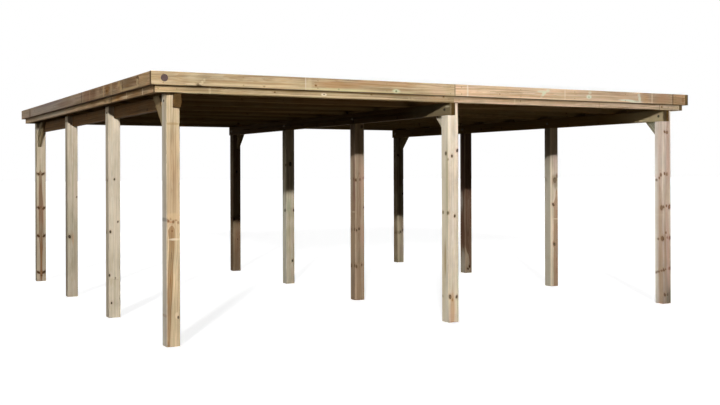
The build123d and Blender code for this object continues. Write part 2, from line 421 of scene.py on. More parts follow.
def on_left(*marks):
    """Prints on a post's left face, given as on its front."""
    return [((-post_half, across, height), (*(depth or (8,)), wide, tall), tone, amount)
            for across, height, wide, tall, tone, amount, *depth in marks]


# What each post shows, counted from the front. Knots give the offset across their face, the
# height and the radius. Offsets run towards the right on the front, and towards the back on
# the left face.
post_looks = {
    "post_left_1": dict(
        sap="#dbc9a7", late="#c4a57d", heart="#8c6236", knot="#8a5f3d", bark="#4f3722", strength=0.9,
        cast=0.2, figure=1.9,
        pith=[(0, 20, -50, -50, 0.96), (250, 25, -42, -48, 0.8), (600, 25, -26, -46, 1.0),
              (880, 29, -10, -44, 1.04), (980, 33, -14, -44, 1.02), (1050, 8, -14, -40, 0.97),
              (2140, 8, -8, -20, 1.02)],
        knots=dict(front=[(-44, 1062, 7), (-22, 1078, 5), (0, 1052, 7), (-10, 975, 5)],
                   left=[(-20, 260, 7), (10, 1070, 9)]),
        prints=on_front((-14, 1330, 46, 330, "#a98462", 0.38), (-4, 1640, 40, 240, "#ad8a66", 0.3),
                        (6, 1300, 5, 260, "#8f6c46", 0.4), (0, 1880, 62, 12, "#a5824f", 0.45),
                        (22, 1480, 4, 400, "#a27c54", 0.45), (-34, 1500, 5, 300, "#d9c4a4", 0.4))
               + on_left((0, 400, 110, 900, "#d8d2c6", 0.75), (-42, 1000, 30, 2200, "#bfae92", 0.3),
                         (40, 1000, 50, 2200, "#e2ddd0", 0.5), (0, 1072, 130, 16, "#6e6048", 0.6),
                         (0, 262, 130, 14, "#b39a82", 0.5), (0, 1500, 110, 700, "#cfccc4", 0.35))
               + on_front((20, 905, 62, 9, "#e8d8bb", 0.8, 30), (0, 1100, 60, 26, "#d9bf93", 0.5),
                          (24, 1066, 10, 7, "#9c6c42", 0.6), (44, 1046, 9, 12, "#8f6440", 0.65),
                          (-20, 1052, 9, 6, "#bd7a4e", 0.6), (30, 262, 16, 26, "#e2d0ae", 0.6),
                          (42, 246, 9, 14, "#4b3826", 0.85))),
    "post_left_2": dict(
        sap="#d4c9b6", late="#c6b497", heart="#a38a6b", knot="#4f4436", bark="#352c22", strength=0.55,
        cast=0.25,
        pith=[(0, 34, -22, 14, 0.92), (600, 34, -24, 10, 0.92), (1400, 33, -26, 8, 1.0),
              (2140, 32, -24, 6, 1.12)],
        knots=dict(front=[(0, 1400, 7), (36, 970, 6), (-42, 870, 9), (-52, 430, 8), (6, 400, 5),
                          (-32, 150, 7)],
                   left=[(20, 860, 7), (-10, 1390, 7)])),
    "post_left_3": dict(
        sap="#c3b8a6", late="#b2a085", heart="#9d8364", knot="#4e4335", bark="#322920", strength=0.5,
        cast=0.45,
        pith=[(0, 36, -10, -8, 0.84), (700, 42, -6, -16, 0.82), (1300, 38, 2, -12, 0.97),
              (2140, 34, 0, -4, 1.12)],
        knots=dict(front=[(-36, 710, 12), (50, 1180, 5)],
                   left=[(0, 700, 8), (10, 1220, 7)]),
        prints=on_front((3, 680, 10, 90, "#a87d5a", 0.6, 30), (0, 1330, 6, 200, "#8f8f6c", 0.4, 30))
               + on_left((10, 700, 40, 800, "#857a6e", 0.25))),
    "post_left_4": dict(
        sap="#baae9b", late="#a99372", heart="#734a2f", knot="#5a4531", bark="#33281b", strength=0.95,
        cast=0.3,
        pith=[(0, 10, -4, -52, 0.82), (110, 16, -4, -50, 0.83), (300, 18, -2, -50, 0.81),
              (480, 24, -2, -50, 0.82), (620, 34, -4, -46, 0.86), (900, 34, -6, -46, 0.94),
              (1050, 30, -6, -48, 0.96), (1300, 22, -12, -50, 1.04), (1440, 22, -14, -50, 1.12),
              (1520, 6, -14, -52, 1.12), (2140, 6, -10, -50, 0.98)],
        knots=dict(front=[(-34, 1446, 9), (14, 1446, 9), (-32, 990, 8), (28, 984, 9), (-40, 612, 9),
                          (36, 612, 9), (-38, 118, 9), (24, 116, 10), (-2, 76, 8)],
                   left=[(-38, 1460, 9), (-40, 1000, 8)]),
        prints=on_front((-2, 380, 16, 330, "#7a5535", 0.55), (-4, 1220, 14, 330, "#6f5540", 0.4))),
    "post_middle_1": dict(
        sap="#ede3d6", late="#ddcbb0", heart="#b38c60", knot="#5c4a35", bark="#2c231a", strength=0.6,
        cast=0.22,
        pith=[(0, 24, -8, -10, 0.82), (330, 24, -8, -10, 0.8), (1000, 24, -6, -4, 0.81),
              (2140, 22, -2, 0, 1.12)],
        knots=dict(front=[(-14, 1620, 9), (50, 1675, 9), (15, 1035, 9), (-40, 250, 13), (-14, 220, 8),
                          (34, 246, 9)],
                   left=[(-22, 1645, 12), (-56, 1590, 7), (32, 1070, 10), (-52, 1068, 11), (40, 250, 7)]),
        prints=on_left((0, 1070, 110, 1400, "#e6dcc0", 0.55), (-4, 620, 18, 190, "#9c8050", 0.8),
                       (-40, 1390, 26, 420, "#b0a576", 0.5), (-20, 1646, 20, 20, "#55482f", 0.85),
                       (-50, 1066, 18, 18, "#5f5034", 0.85), (32, 1070, 18, 16, "#857753", 0.6),
                       (20, 400, 30, 420, "#cdbd98", 0.4), (-20, 900, 20, 420, "#cfc1a2", 0.35))
               + on_front((-16, 100, 28, 190, "#b58353", 0.6), (-8, 300, 7, 110, "#a87d55", 0.5))),
    "post_middle_2": dict(
        sap="#af9e89", late="#957c62", heart="#7d614a", knot="#5c4735", bark="#37291d", strength=0.7,
        cast=0.15,
        pith=[(0, 56, -10, -8, 0.88), (700, 58, -14, -10, 0.98), (1500, 56, -12, -8, 1.03),
              (2140, 54, -10, -6, 1.05)],
        knots=dict(front=[(-52, 1375, 8), (6, 1380, 9), (50, 1400, 7), (-40, 800, 7), (-10, 815, 10),
                          (-46, 385, 9), (20, 400, 7), (54, 1060, 7), (30, 1985, 11)],
                   left=[(-30, 1385, 11), (-40, 810, 10), (20, 805, 10), (30, 390, 11), (-44, 395, 10)]),
        prints=on_left((-42, 1260, 34, 330, "#785945", 0.65))
               + on_front((0, 200, 130, 260, "#92775a", 0.35, 30))
               + on_left((-20, 1010, 40, 9, "#c3b294", 0.6, 30))
               + on_front((30, 1450, 36, 260, "#b58d79", 0.45))
               + on_left((30, 1400, 40, 220, "#a7a08c", 0.4), (0, 600, 70, 500, "#b59c7c", 0.35))
               + on_front((36, 720, 26, 140, "#b18b78", 0.4))
               + on_left((-40, 1230, 24, 170, "#8e6a5c", 0.45))),
    "post_middle_3": dict(
        sap="#c1b5a2", late="#a6957a", heart="#987e60", knot="#504836", bark="#2b261c", strength=0.5,
        cast=0.7,
        pith=[(0, 40, -6, 4, 0.9), (900, 38, -12, 0, 0.97), (2140, 34, -8, -2, 0.97)],
        knots=dict(front=[(52, 965, 11), (2, 1570, 17), (30, 300, 10)],
                   left=[(-28, 965, 15), (-50, 1560, 10), (20, 320, 7)]),
        prints=on_left((0, 500, 110, 800, "#cbc9bb", 0.6))
               + on_front((-20, 1020, 40, 120, "#909d82", 0.35, 30), (20, 120, 8, 120, "#b3967c", 0.5))
               + on_left((30, 1000, 50, 260, "#8f988a", 0.3), (-24, 962, 34, 22, "#5f5e4c", 0.8))
               + on_front((50, 964, 16, 22, "#554a38", 0.75, 30))),
    "post_middle_4": dict(
        sap="#867663", late="#776249", heart="#60442e", strength=0.8, cast=0.2, knot="#3f2816",
        bark="#20160d",
        pith=[(0, 50, 0, -30, 0.79), (600, 54, 0, -34, 1.06), (740, 54, 0, -34, 0.9),
              (2140, 54, 4, -34, 0.83)],
        knots=dict(front=[(-46, 770, 12), (44, 755, 12), (0, 1470, 12), (10, 470, 6)],
                   left=[(-30, 790, 12), (30, 780, 11)]),
        prints=on_front((14, 400, 6, 170, "#4c3524", 0.4))
               + on_left((0, 350, 130, 1400, "#5b4734", 0.75))
               + on_front((0, 775, 130, 60, "#35241a", 0.6, 60))),
    "post_right_1": dict(
        sap="#ded1c5", late="#c7ab9a", heart="#aa8670", knot="#8b674d", bark="#4a3425", strength=0.6,
        cast=0.25, figure=1.8,
        pith=[(0, 52, 6, -26, 0.62), (400, 52, 2, -28, 0.75), (1100, 48, -4, -26, 1.1),
              (1500, 44, 12, -26, 1.09), (2140, 40, 16, -24, 1.1)],
        knots=dict(front=[(-27, 1900, 8), (8, 1893, 11), (-30, 1438, 8), (6, 1430, 12), (-50, 1072, 8),
                          (-4, 1080, 9), (38, 1068, 14), (8, 730, 8), (44, 725, 10), (-16, 785, 8),
                          (-50, 375, 9), (-20, 380, 6), (34, 388, 10), (-30, 98, 10), (8, 98, 9)],
                   left=[(34, 1370, 11), (-8, 1392, 9), (-34, 1425, 11), (-42, 1060, 16), (10, 715, 10),
                         (-54, 722, 17), (40, 342, 10), (20, 350, 9), (0, 355, 10), (-40, 366, 8)]),
        prints=on_front((30, 50, 40, 170, "#6f6757", 0.4, 30), (34, 84, 18, 90, "#4b4234", 0.35, 30))
               + on_left((0, 985, 70, 8, "#e0d4c0", 0.55, 30), (-16, 660, 50, 1100, "#a08268", 0.65),
                         (0, 120, 130, 420, "#9a8067", 0.55))
               + [((-58, -58, 1520), (12, 12, 420), "#eae2d4", 0.5)]
               + on_left((50, 800, 46, 1500, "#dad8d0", 0.75))
               + on_front((24, 1480, 24, 320, "#cfa896", 0.35), (-26, 560, 9, 420, "#a27a56", 0.4),
                          (20, 520, 22, 380, "#c99f8c", 0.35))),
    "post_right_2": dict(
        sap="#dbccb9", late="#c5ae93", heart="#966947", knot="#725f4a", bark="#4b3d2e", strength=0.9,
        cast=0.35,
        pith=[(0, 46, 28, -38, 0.79), (500, 46, 28, -38, 0.97), (1020, 44, 28, -38, 1.12),
              (1160, 22, 32, -42, 1.12), (1330, 12, 34, -42, 1.06), (1580, 12, 34, -42, 0.8),
              (2140, 12, 30, -30, 0.78)],
        knots=dict(front=[(18, 1345, 23), (42, 1398, 13), (-14, 1040, 10), (2, 535, 12)],
                   left=[(34, 1360, 12)]),
        prints=on_front((16, 1338, 60, 84, "#85715a", 0.65, 30), (24, 1290, 26, 50, "#8f7a62", 0.5, 30),
                        (44, 1400, 24, 50, "#8f7a62", 0.5, 30), (30, 860, 62, 8, "#e0cdae", 0.65, 30))
               # The darker patch at the top of the left face is painted shade under the roof
               + on_left((0, 1000, 130, 1800, "#a3a090", 0.8), (0, 1880, 130, 380, "#776650", 0.6))
               + on_front((-52, 1000, 16, 1400, "#e3d5bb", 0.5, 12),
                          (20, 1560, 30, 130, "#c9aa9b", 0.4))),
    "post_right_3": dict(
        sap="#9d8c76", late="#705844", heart="#503224", strength=0.9, cast=0.0, knot="#3c2818",
        bark="#20170f",
        pith=[(0, 44, 30, -10, 1.04), (200, 50, 22, -12, 0.98), (420, 66, -4, -14, 0.89),
              (1100, 68, 0, -16, 0.99), (2140, 66, 0, -14, 0.81)],
        knots=dict(front=[(20, 90, 10), (-6, 60, 9)],
                   left=[(40, 1060, 12), (10, 920, 10), (44, 240, 8)]),
        prints=on_left((0, 700, 130, 900, "#5a4638", 0.8), (-10, 560, 40, 260, "#4f2f20", 0.45),
                       (30, 1030, 40, 160, "#9d978a", 0.6), (20, 130, 100, 190, "#a59d8c", 0.65),
                       (-52, 900, 10, 330, "#8b7a69", 0.4))),
    "post_right_4": dict(
        sap="#8f8472", late="#776852", heart="#564028", knot="#463a2a", bark="#292117", strength=0.6,
        cast=0.5,
        pith=[(0, 40, 4, -28, 1.12), (700, 42, 6, -30, 1.02), (2140, 44, 4, -30, 0.81)],
        knots=dict(front=[(-30, 478, 12), (0, 490, 11), (40, 520, 10), (50, 1110, 11), (-40, 1730, 9)],
                   left=[(-20, 478, 10), (20, 476, 10)]),
        prints=[((0, 0, 0), (90, 90, 130), "#6c7350", 0.35)]
               + on_front((-36, 380, 22, 420, "#aa9c82", 0.5))
               + on_left((0, 400, 130, 560, "#6b5941", 0.7))
               + on_front((30, 240, 50, 330, "#b5ab9c", 0.2))
               # The dark brown patch over the upper left face is painted shade under the roof
               + on_left((0, 1250, 110, 520, "#4a3822", 0.6))),
}

# On the left of the right front post, knots come through the pale wash as brown spots
post_looks["post_right_1"]["prints"] += on_left(*[
    (across, height, wide, tall, "#6f5039", 0.7) for across, height, wide, tall in (
        (34, 1370, 20, 14), (-8, 1392, 12, 14), (-34, 1425, 18, 20), (-42, 1060, 24, 30),
        (10, 715, 18, 14), (-52, 722, 26, 30), (44, 340, 24, 12), (10, 352, 28, 12),
        (-38, 366, 20, 12))])

for name, looks in post_looks.items():
    row, number = name.split("_")[1:]
    chance = random.Random(name + " hidden")
    seen = looks.pop("knots")
    spots = [(across, -post_half, height, size) for across, height, size in seen["front"]]
    spots += [(-post_half, across, height, size) for across, height, size in seen["left"]]
    # The same whorls come out on the back and the right, which the photograph hides
    levels = sorted({round(height / 60) * 60 for _, height, _ in seen["front"] + seen["left"]})
    for height in levels[:5]:
        spots.append((chance.uniform(-45, 45), post_half,
                      height + chance.uniform(-25, 25), chance.uniform(5, 12)))
        spots.append((post_half, chance.uniform(-45, 45),
                      height + chance.uniform(-25, 25), chance.uniform(5, 12)))
    middle = (row_place[row], first_row + (int(number) - 1) * between, 0)
    timber = pine(name + "_pine", "up", middle, knots=spots, **looks)
    nodes[name].material_slots[0].material = timber


# Purlins
# A 60 x 120 mm beam over each row, let into the post heads so that it is flush with them.
# Planed pine, end grain open at the short noses; nearly knot-free stock with brown streaks.


def whorls(name, half_length, half_x, half_y, apart, sizes):
    """Knots in whorls along a timber that no photograph shows one by one."""
    chance = random.Random(name + " whorls")
    spots = []
    height = chance.uniform(0.3, 0.9) * apart - half_length
    while height < half_length:
        for side in chance.sample(("-x", "+x", "-y", "+y"), chance.choice((2, 2, 3))):
            across = chance.uniform(-0.8, 0.8)
            x, y = {"-x": (-half_x, across * half_y), "+x": (half_x, across * half_y),
                    "-y": (across * half_x, -half_y), "+y": (across * half_x, half_y)}[side]
            spots.append((x, y, height + chance.uniform(-20, 20), chance.uniform(*sizes)))
        height += apart * chance.uniform(0.75, 1.25)
    return spots


def dress(name, grain, looks, apart=480, sizes=(4, 9)):
    """Give a timber its own pine, with knots in whorls unless its looks say which."""
    low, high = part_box(name)
    # Half sizes in millimetres, and the one along the grain goes first
    half = (high - low) * 500
    length, *section = (half.x, half.z, half.y) if grain == "across" else (half.y, half.x, half.z)
    if "knots" not in looks:
        looks = dict(looks, knots=whorls(name, length, *section, apart, sizes))
    timber = pine(name + "_pine", grain, (low + high) / 2, **looks)
    nodes[name].material_slots[0].material = timber


purlin_looks = {
    "purlin_left": dict(
        sap="#80613f", late="#684c2e", heart="#553820", cast=0.1, figure=2.0,
        pith=[(-3005, 34, 14, -6, 0.85), (-1000, 36, 10, 10, 0.85), (3005, 34, 12, -8, 0.85)]),
    "purlin_middle": dict(
        sap="#7b5f3e", late="#60482c", heart="#4a331d", cast=0.1,
        pith=[(-3005, 40, 8, 4, 0.85), (0, 40, 6, -6, 0.8), (3005, 38, 10, 0, 0.8)],
        # The pale patch near the nose is painted light where light reaches under the fascia, and the
        # small pale spot is a painted highlight of the bolt's washer
        prints=[((-30, 0, -2800), (20, 90, 520), "#8a7d60", 0.8),
                ((-30, -26, -2960), (8, 9, 42), "#cfc4a2", 0.6)]),
    "purlin_right": dict(
        sap="#85683f", late="#684e2c", heart="#53391c", cast=0.1,
        pith=[(-3005, 30, 16, 10, 0.95), (0, 34, 12, 4, 0.8), (3005, 32, 14, 10, 0.8)],
        # The pale patch near the nose is painted light where light reaches under the fascia, and the dark
        # patch on the nose is painted shade in the gap beside the post's tongue
        prints=[((-30, 0, -2790), (20, 90, 520), "#aa9b79", 0.85),
                ((-24, 0, -3000), (24, 70, 26), "#33261a", 0.85)]),
}
for name, looks in purlin_looks.items():
    dress(name, "back", dict(looks, check=(1, 0)))


# Knee boards
# 44 x 120 mm boards at 45 degrees, cut plumb against the post and level with the purlin's
# top, screwed to the purlin's side. Short lengths, some from paler boards than others.
knee_looks = {
    "brace_left_front": dict(sap="#a8926f", late="#8f7650"),
    "brace_left_rear": dict(sap="#8c7d60", late="#6b5b40", heart="#5f4a30", figure=2.2),
    "brace_middle_front": dict(sap="#e2d8c2", late="#cdbc9a"),
    "brace_middle_rear": dict(sap="#8f7b5c", late="#765f42"),
    "brace_right_front": dict(sap="#a9a38c", late="#5f5c48", heart="#565443", stripes=1.5,
                              figure=3.0, cast=0.4),
    "brace_right_rear": dict(sap="#96835f", late="#7b6545"),
}
for name, looks in knee_looks.items():
    chance = random.Random(name)
    pith = [(-330, 26, chance.uniform(20, 50), chance.uniform(-30, 30), 0.97),
            (330, 26, chance.uniform(20, 50), chance.uniform(-30, 30), 1.0)]
    # The board's own half sizes, which its upright box doesn't give
    spots = whorls(name, 280, 22, 60, apart=330, sizes=(4, 9))
    grain = name.split("_")[2] + " knee"
    dress(name, grain, dict(looks, pith=pith, knots=spots, check=(-1, 0)))


# Rafters
# Nine 45 x 120 mm joists laid on edge across the purlins and butted between the side boards.
# Plain structural grade: more knots than the rest, and browner from the treatment.
for number in range(1, 10):
    name = f"rafter_{number}"
    chance = random.Random(name)
    sap = chance.choice(("#8e7653", "#84704e", "#967d59", "#8a7350"))
    pith = [(-2944, 34, chance.uniform(-30, 30), chance.uniform(-50, -20), 0.9),
            (0, 36, chance.uniform(-20, 20), chance.uniform(-40, 30), 0.95),
            (2944, 34, chance.uniform(-30, 30), chance.uniform(20, 50), 0.9)]
    dress(name, "across", dict(pith=pith, sap=sap, late="#6f5533", heart="#604226", rings=3.5,
                               cast=0.15, gloss=0.0), apart=560)


# Lower ring of boards
# 44 x 120 mm boards on edge, level with the rafters. They are planed on the outside and carry
# the pale prints of the laths they were stacked on. The left one is browner than the front.


def on_face(grain, across, out, along):
    """Order a place or a size on a board's outer face as pine() takes it."""
    return (across, out, along) if grain == "across" else (out, across, along)


def dress_boards(board_looks, painted_shade_line, painted_shade_half, painted_shade_tones, painted_shade_strength):
    """Give each board of a ring its own pine, and a dark line of painted shade along the step between the
    rings.

    On the outer face, knots list (place across, place along, radius), and prints list
    (place across, place along, half width, half length, colour, strength).
    """
    # The outer face lies half a thickness from the middle, and prints go 10 mm deep
    face, skin = -22, 10
    for name, looks in board_looks.items():
        grain = looks.pop("grain")
        if "knots" in looks:
            looks["knots"] = [(*on_face(grain, across, face, along), size)
                              for across, along, size in looks["knots"]]
        marks = [(on_face(grain, across, face, along), on_face(grain, wide, skin, long), tone, amount)
                 for across, along, wide, long, tone, amount in looks.get("prints", [])]
        # The painted shade line goes through the board and past both of its ends
        marks.append((on_face(grain, painted_shade_line, 0, 0), on_face(grain, painted_shade_half, 60, 4000),
                      painted_shade_tones[grain], painted_shade_strength))
        dress(name, grain, dict(looks, prints=marks), apart=700, sizes=(4, 8))


lower_looks = {
    "fascia_lower_front_left": dict(
        grain="across", sap="#c8b18c", late="#a68454", heart="#946f43", cast=0.25, figure=2.2,
        knot="#7d5f3c", bark="#5a4229",
        pith=[(-1480, 60, 20, 95, 1.12), (-600, 60, 10, 100, 0.86), (200, 60, -20, 90, 0.86),
              (900, 60, -10, 95, 0.76), (1480, 60, 0, 100, 1.0)],
        knots=[(30, -400, 4), (20, 570, 5), (35, 990, 6), (10, 1360, 4)],
        prints=[(30, 80, 14, 26, "#ece4cc", 0.85), (28, 82, 5, 9, "#6b5238", 0.8),
                (46, 300, 7, 1000, "#e6d6b0", 0.6), (20, 300, 6, 300, "#e0cda4", 0.5),
                (8, 900, 8, 400, "#9a7443", 0.5), (34, 990, 8, 30, "#e2d2ac", 0.4),
                (12, -300, 7, 900, "#8f6d40", 0.35), (30, -1000, 60, 12, "#dcc9a0", 0.35)]),
    "fascia_lower_front_right": dict(
        grain="across", sap="#d6bfa3", late="#b79870", heart="#a5805a", cast=0.2, figure=2.0,
        knot="#8a6a48", bark="#5f4630",
        pith=[(-1487, 60, 10, 95, 0.99), (-400, 60, 0, 90, 1.03), (700, 60, -10, 95, 0.91),
              (1487, 60, 10, 100, 0.83)],
        knots=[(20, -690, 4), (34, 1230, 6)],
        prints=[(14, -700, 6, 800, "#8f6f45", 0.4), (30, -760, 60, 10, "#e0cfab", 0.4),
                (30, 340, 60, 8, "#8c7050", 0.3), (20, 1195, 50, 5, "#5b4630", 0.6)]),
    "fascia_lower_rear": dict(
        grain="across", sap="#c9b48c", late="#ae9060", cast=0.3, figure=2.0,
        pith=[(-2944, 60, 10, -95, 0.95), (0, 60, -10, -90, 1.0), (2988, 60, 0, -95, 0.95)]),
    "fascia_lower_left": dict(
        grain="back", sap="#c7a882", late="#a07b53", heart="#815b36", cast=0.3, figure=2.6,
        pith=[(-3010, 60, 95, 0, 1.03), (-1500, 60, 90, 10, 1.06), (-1200, 60, 95, 0, 0.87),
              (0, 60, 90, 0, 1.1), (3010, 60, 90, 0, 1.12)],
        prints=[(0, 1500, 90, 1500, "#b3a897", 0.7), (30, -2690, 60, 13, "#f0dcb8", 0.9),
                (30, -2170, 60, 11, "#ecd3a6", 0.85), (30, -2230, 60, 40, "#c0a072", 0.5),
                (40, -2050, 14, 150, "#efdcb4", 0.8), (30, -1880, 60, 220, "#9c6227", 0.6),
                (46, -1760, 10, 120, "#e0bb80", 0.6), (30, -1620, 60, 10, "#33241a", 0.85),
                (30, -1480, 60, 60, "#d9b98a", 0.55), (20, -2480, 60, 160, "#94653a", 0.55),
                (40, -1200, 12, 160, "#d4b78c", 0.6), (20, -900, 30, 120, "#84603f", 0.5),
                (20, 2300, 40, 200, "#8c7c68", 0.4), (30, 900, 14, 500, "#c2b59e", 0.5)]),
    "fascia_lower_right": dict(
        grain="back", sap="#c4ac84", late="#a98a5e", cast=0.3, figure=2.0,
        pith=[(-3010, 60, -95, 0, 0.95), (0, 60, -90, 10, 1.0), (3010, 60, -95, 0, 0.95)]),
}
# A dark line of painted shade lies on the lower boards just under the upper ring's edge
dress_boards(lower_looks, 4, 7, {"across": "#4a371f", "back": "#3a2c1c"}, 0.55)


# Upper ring of boards
# 44 x 115 mm boards, one board's thickness outside the lower ring and half a board higher,
# so that they hide the roof sheets. The front one is joined over the middle purlin. The lower
# edge and its underside carry a dark line of painted shade.
upper_looks = {
    "fascia_upper_front_left": dict(
        grain="across", sap="#ceba98", late="#af8b5d", heart="#a27b4e", cast=0.15, stripes=0.8,
        figure=2.2, knot="#7a5a38", bark="#4f3b26",
        pith=[(-1495, 60, -10, 92, 1.12), (-1000, 60, -20, 84, 0.94), (-100, 60, -40, 78, 0.93),
              (300, 60, -46, 74, 0.83), (900, 60, -36, 78, 0.88), (1495, 60, -30, 86, 1.12)],
        knots=[(44, -1092, 9), (26, -493, 5), (12, 7, 6)],
        prints=[(40, -1150, 8, 50, "#e0cfa4", 0.5), (40, -1072, 16, 12, "#e6d8b0", 0.6),
                (22, -1054, 16, 12, "#e6d8b0", 0.5), (4, -1036, 16, 12, "#e6d8b0", 0.35),
                (50, -1082, 8, 22, "#4a3826", 0.8), (-14, -93, 80, 7, "#ece5d4", 0.4),
                (10, -60, 80, 30, "#dccba6", 0.4), (-4, 230, 30, 260, "#b78350", 0.5),
                (-26, 700, 26, 380, "#b0855a", 0.45), (40, 200, 12, 330, "#cdcf9f", 0.5),
                (34, 837, 22, 44, "#d3dcb8", 0.75), (34, 837, 10, 12, "#5f6b45", 0.8),
                (38, 236, 8, 10, "#7c8f62", 0.7), (30, -600, 9, 480, "#e0cfa6", 0.5),
                (44, 500, 7, 560, "#ddd0a2", 0.55), (8, -640, 8, 420, "#a77d4c", 0.4),
                (-20, -1130, 60, 70, "#dccaa4", 0.4), (0, 1290, 60, 90, "#d9b89c", 0.45),
                (0, 1491, 90, 5, "#4d3822", 0.75)]),
    "fascia_upper_front_middle": dict(
        grain="across", sap="#e1c7aa", late="#c39e76", heart="#b0855d", cast=0.15, stripes=0.7,
        figure=1.9, knot="#9a774f", bark="#7a5a38",
        pith=[(-1424, 60, 10, 90, 1.06), (-900, 60, 0, 88, 1.12), (-350, 60, 0, 90, 1.02),
              (350, 60, -10, 90, 0.96), (800, 60, -6, 92, 0.88), (1250, 60, -20, 80, 0.68),
              (1424, 60, -20, 80, 0.66)],
        knots=[(20, -900, 4)],
        prints=[(0, -1282, 90, 9, "#efe4cf", 0.65), (-24, -370, 12, 70, "#dde0c6", 0.7),
                (-36, -300, 12, 24, "#dde0c6", 0.7), (-8, -350, 14, 22, "#dde0c6", 0.75),
                (12, -366, 14, 16, "#dde0c6", 0.7), (34, -384, 16, 14, "#dccfae", 0.65),
                (10, 238, 22, 36, "#dce3cf", 0.85), (14, 236, 9, 12, "#b4b596", 0.8),
                (-34, 250, 16, 24, "#dcdcc2", 0.6), (30, 760, 10, 110, "#dbe2d0", 0.8),
                (42, 880, 11, 100, "#dbe2d0", 0.9), (10, 940, 30, 20, "#dbe2d0", 0.7),
                (-30, 930, 20, 20, "#dbe2d0", 0.55), (36, 900, 5, 40, "#a6a684", 0.6),
                (0, 1118, 90, 10, "#e4d2b2", 0.6), (0, -80, 90, 10, "#e8dabf", 0.4),
                (44, 200, 6, 800, "#e6cfa6", 0.5), (26, -600, 7, 700, "#b98f64", 0.35),
                (-10, 1020, 60, 60, "#c08a4c", 0.4), (0, 1270, 90, 130, "#b3855c", 0.5),
                (0, 1422, 90, 5, "#4d3822", 0.8)]),
    "fascia_upper_front_filler": dict(
        grain="across", sap="#c9a47f", late="#a68159", heart="#916747", cast=0.1, figure=2.0,
        pith=[(-91, 60, 0, 70, 0.87), (91, 60, 4, 70, 0.95)],
        knots=[],
        prints=[(0, -89, 90, 5, "#4d3822", 0.8), (6, 60, 26, 24, "#7a5636", 0.5)]),
    "fascia_upper_rear": dict(
        grain="across", sap="#c9b48c", late="#ae9060", cast=0.3, figure=2.0,
        pith=[(-2988, 60, 10, -90, 0.95), (0, 60, -10, -85, 1.0), (3032, 60, 0, -90, 0.95)]),
    "fascia_upper_left": dict(
        grain="back", sap="#c6a785", late="#96724f", heart="#7c5435", cast=0.35, stripes=1.2, figure=2.8,
        pith=[(-3052, 60, 84, 10, 1.12), (-2750, 60, 80, 0, 1.12), (-2600, 60, 84, 6, 1.04),
              (-2150, 60, 84, 0, 0.87), (-2050, 60, 84, 0, 0.91), (-900, 60, 78, -10, 0.85),
              (600, 60, 80, 0, 0.9), (2200, 60, 84, 6, 1.12), (3052, 60, 80, 0, 1.12)],
        knots=[(-24, -2720, 8), (16, -2700, 8), (10, 900, 8), (-10, 2100, 8)],
        prints=[(0, 1500, 90, 1900, "#a9a097", 0.7), (0, -560, 90, 12, "#4c3929", 0.8),
                (0, -620, 90, 30, "#b59d80", 0.5), (0, -820, 90, 200, "#80543d", 0.45),
                (20, -760, 30, 60, "#a98a6c", 0.5), (-6, -1090, 60, 130, "#6b3a26", 0.5),
                (0, -930, 80, 14, "#c0a17c", 0.6), (20, -1280, 40, 90, "#b1977b", 0.5),
                (-20, -1390, 30, 70, "#7b5a44", 0.55), (0, -1505, 80, 22, "#c9ab80", 0.8),
                (0, -1640, 50, 96, "#74491f", 0.65), (4, -1640, 30, 60, "#a37a48", 0.6),
                (6, -1630, 12, 20, "#3d2716", 0.85), (0, -1790, 90, 14, "#cfb489", 0.8),
                (-20, -1930, 40, 90, "#8a6240", 0.5), (-30, -2080, 26, 50, "#c7a675", 0.75),
                (10, -2130, 30, 30, "#cbb082", 0.75), (30, -2165, 26, 22, "#cbb082", 0.7),
                (10, -2195, 60, 18, "#4a3420", 0.45), (-10, -2430, 42, 250, "#6c4f30", 0.65),
                (10, -2330, 12, 120, "#8f6f4a", 0.5), (42, -2420, 9, 330, "#cdb487", 0.8),
                (4, -2690, 38, 28, "#d8c195", 0.85), (8, -2704, 20, 11, "#553a20", 0.85),
                (-34, -2690, 14, 40, "#59402a", 0.75), (0, -2900, 90, 150, "#c9a878", 0.5),
                (0, 2430, 80, 70, "#66473c", 0.6), (30, 2180, 50, 60, "#b0a394", 0.5),
                (-36, 1300, 14, 900, "#85747a", 0.5), (10, 300, 30, 400, "#7a5847", 0.45)]),
    "fascia_upper_right": dict(
        grain="back", sap="#c4ac84", late="#a98a5e", cast=0.3, figure=2.0,
        pith=[(-3052, 60, -84, 0, 0.95), (0, 60, -80, 10, 1.0), (3052, 60, -84, 0, 0.95)]),
}
dress_boards(upper_looks, 58, 5, {"across": "#3f2e18", "back": "#36281a"}, 0.8)


# Bolts through the post heads
# One M10 carriage bolt a post holds the purlin in its seat: a domed head on the tongue, and a
# washer, nut and thread end on the purlin. Zinc-plated steel, dulled by the weather.


def stand_on_points(tree, given, shape, result):
    """End a tree: one shape on each point, turned to face its way, as real mesh."""
    facing = add(tree, "GeometryNodeInputNamedAttribute", {"Name": "facing"},
                 data_type="FLOAT_VECTOR")
    lean = add(tree, "FunctionNodeAlignRotationToVector", {"Vector": facing}, axis="Z")
    placed = add(tree, "GeometryNodeInstanceOnPoints",
                 {"Points": given["Points"], "Instance": shape, "Rotation": lean})
    real = add(tree, "GeometryNodeRealizeInstances", {"Geometry": placed})
    finished = add(tree, "GeometryNodeSetMaterial",
                   {"Geometry": real, "Material": given["Material"]})
    tree.links.new(finished.outputs[0], result.inputs[0])


